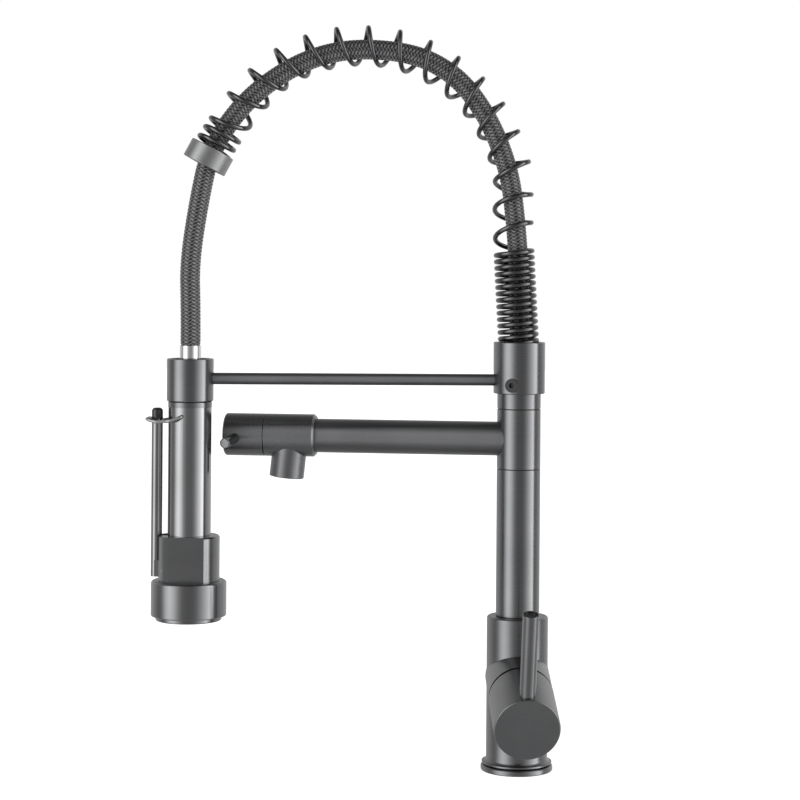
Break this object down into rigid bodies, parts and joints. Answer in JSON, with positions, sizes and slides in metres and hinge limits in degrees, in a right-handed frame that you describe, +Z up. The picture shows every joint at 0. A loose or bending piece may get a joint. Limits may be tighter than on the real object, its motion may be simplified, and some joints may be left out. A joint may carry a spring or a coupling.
{
  "type": "pull-down kitchen mixer tap",
  "caption": "Tall spring-arch kitchen mixer tap: side lever handle, swivelling column, docked hand sprayer with a long trigger on an arched hose, and a swivelling pot-filler spout.",
  "frame": {"origin": "centre of the base where it meets the worktop, on the column's axis", "axes": "+Z up the column; -X from the column towards the hand sprayer; -Y the side the lever handle is on"},
  "size_m": [0.2842, 0.1446, 0.5189],
  "materials": {
    "gunmetal_brass": "satin",
    "gunmetal_steel": "satin",
    "gunmetal_plated": "gloss",
    "grip_steel": "gloss",
    "spring_wire": "gloss",
    "end_ring_grey": "satin",
    "bright_chrome": "polished",
    "raw_brass": "satin",
    "stainless": "satin",
    "black_plastic": "gloss",
    "grey_plastic": "matte",
    "white_plastic": "matte",
    "black_rubber": "matte",
    "grey_silicone": "matte",
    "braided_hose": "satin",
    "ceramic": "satin"
  },
  "bodies": {
    "base": {"base_ring": "gunmetal_brass", "deck_gasket": "black_rubber", "valve_body": "gunmetal_brass", "column_retaining_screw": "stainless", "cartridge_case": "white_plastic", "cartridge_port_seals": "black_rubber", "fixed_ceramic_disc": "ceramic", "cartridge_nut": "raw_brass"},
    "mixing_carrier": {"moving_ceramic_disc": "ceramic", "cartridge_rotor": "grey_plastic", "stem_pivot_pin": "stainless"},
    "handle": {"handle_stem": "raw_brass", "handle_hub": "gunmetal_brass", "handle_lever": "gunmetal_steel", "lever_tip_plug": "black_plastic", "hub_set_screw": "stainless"},
    "column": {"column_tube": "gunmetal_steel", "column_core": "raw_brass", "column_seals": "black_rubber", "tee_seals": "black_rubber", "lower_slip_ring": "black_plastic", "upper_slip_ring": "black_plastic", "column_neck": "gunmetal_steel", "dock_collar": "gunmetal_brass", "collar_set_screw": "gunmetal_steel", "hose_tail_nut": "raw_brass", "support_rod": "gunmetal_steel", "dock_ring": "gunmetal_brass", "dock_liner": "black_plastic", "hose": "braided_hose", "arch_spring": "spring_wire", "spring_end_ring": "end_ring_grey", "hose_guide_bush": "black_plastic"},
    "pot_filler": {"tee_sleeve": "gunmetal_brass", "pot_filler_arm": "gunmetal_steel", "pot_filler_head": "gunmetal_brass", "head_ring": "gunmetal_brass", "aerator_housing": "black_plastic", "aerator_screen": "grey_plastic", "aerator_washer": "black_rubber", "quarter_turn_valve": "raw_brass"},
    "knob": {"knob_cap": "gunmetal_brass", "knob_lever": "gunmetal_steel", "knob_spindle": "raw_brass"},
    "hose_end": {"hose_ferrule": "bright_chrome", "hose_end_nut": "raw_brass"},
    "handset": {"grip_tube": "grip_steel", "grip_head": "gunmetal_plated", "valve_block": "gunmetal_plated", "spray_shell": "gunmetal_plated", "spray_bezel": "gunmetal_plated", "spray_plate": "grey_silicone", "stream_outlet": "grey_plastic", "flow_diffuser": "grey_plastic", "trigger_pin": "stainless"},
    "trigger": {"trigger_lever": "gunmetal_steel", "trigger_tip_cap": "black_plastic"},
    "plunger": {"valve_plunger": "stainless"},
    "lock_ring": {"lock_ring": "stainless"}
  },
  "joints": [
    {"name": "column_swivel", "type": "hinge", "parent": "base", "child": "column", "pos_m": [0, 0, 0.1], "axis": [0, 0, 1], "range_deg": [-180, 180]},
    {"name": "pot_filler_swivel", "type": "hinge", "parent": "column", "child": "pot_filler", "pos_m": [0, 0, 0.231], "axis": [0, 0, 1], "range_deg": [-180, 180]},
    {"name": "pot_filler_valve", "type": "hinge", "parent": "pot_filler", "child": "knob", "pos_m": [0, 0, 0.231], "axis": [-0.9863, 0.165, 0], "range_deg": [0, 90]},
    {"name": "handle_temperature", "type": "hinge", "parent": "base", "child": "mixing_carrier", "pos_m": [0, 0, 0.0658], "axis": [0, -0.9511, -0.309], "range_deg": [-45, 45]},
    {"name": "handle_flow", "type": "hinge", "parent": "mixing_carrier", "child": "handle", "pos_m": [0, -0.01902, 0.05962], "axis": [1, 0, 0], "range_deg": [0, 18]},
    {"name": "handset_pull", "type": "slide", "parent": "column", "child": "hose_end", "axis": [0, 0, -1], "range_m": [0, 0.08], "stiffness_N_per_m": 40, "springref_m": -0.2, "deforming": ["hose"]},
    {"name": "handset_swivel", "type": "hinge", "parent": "hose_end", "child": "handset", "pos_m": [-0.2295, 0, 0.25], "axis": [0, 0, 1], "range_deg": [-90, 90]},
    {"name": "trigger_squeeze", "type": "hinge", "parent": "handset", "child": "trigger", "pos_m": [-0.24592, 0.00161, 0.14], "axis": [0.0976, 0.9952, 0], "range_deg": [0, 1.9], "stiffness_Nm_per_rad": 5, "springref_deg": -6.88},
    {"name": "plunger_push", "type": "slide", "parent": "handset", "child": "plunger", "axis": [0.9952, -0.0976, 0], "range_m": [0, 0.0006]},
    {"name": "lock_ring_flip", "type": "hinge", "parent": "handset", "child": "lock_ring", "pos_m": [-0.23308, 0.00035, 0.2465], "axis": [0.0976, 0.9952, 0], "range_deg": [0, 60]}
  ],
  "couplings": [
    {"joint": "plunger_push", "follows": "trigger_squeeze", "m_per_rad": 0.016}
  ]
}
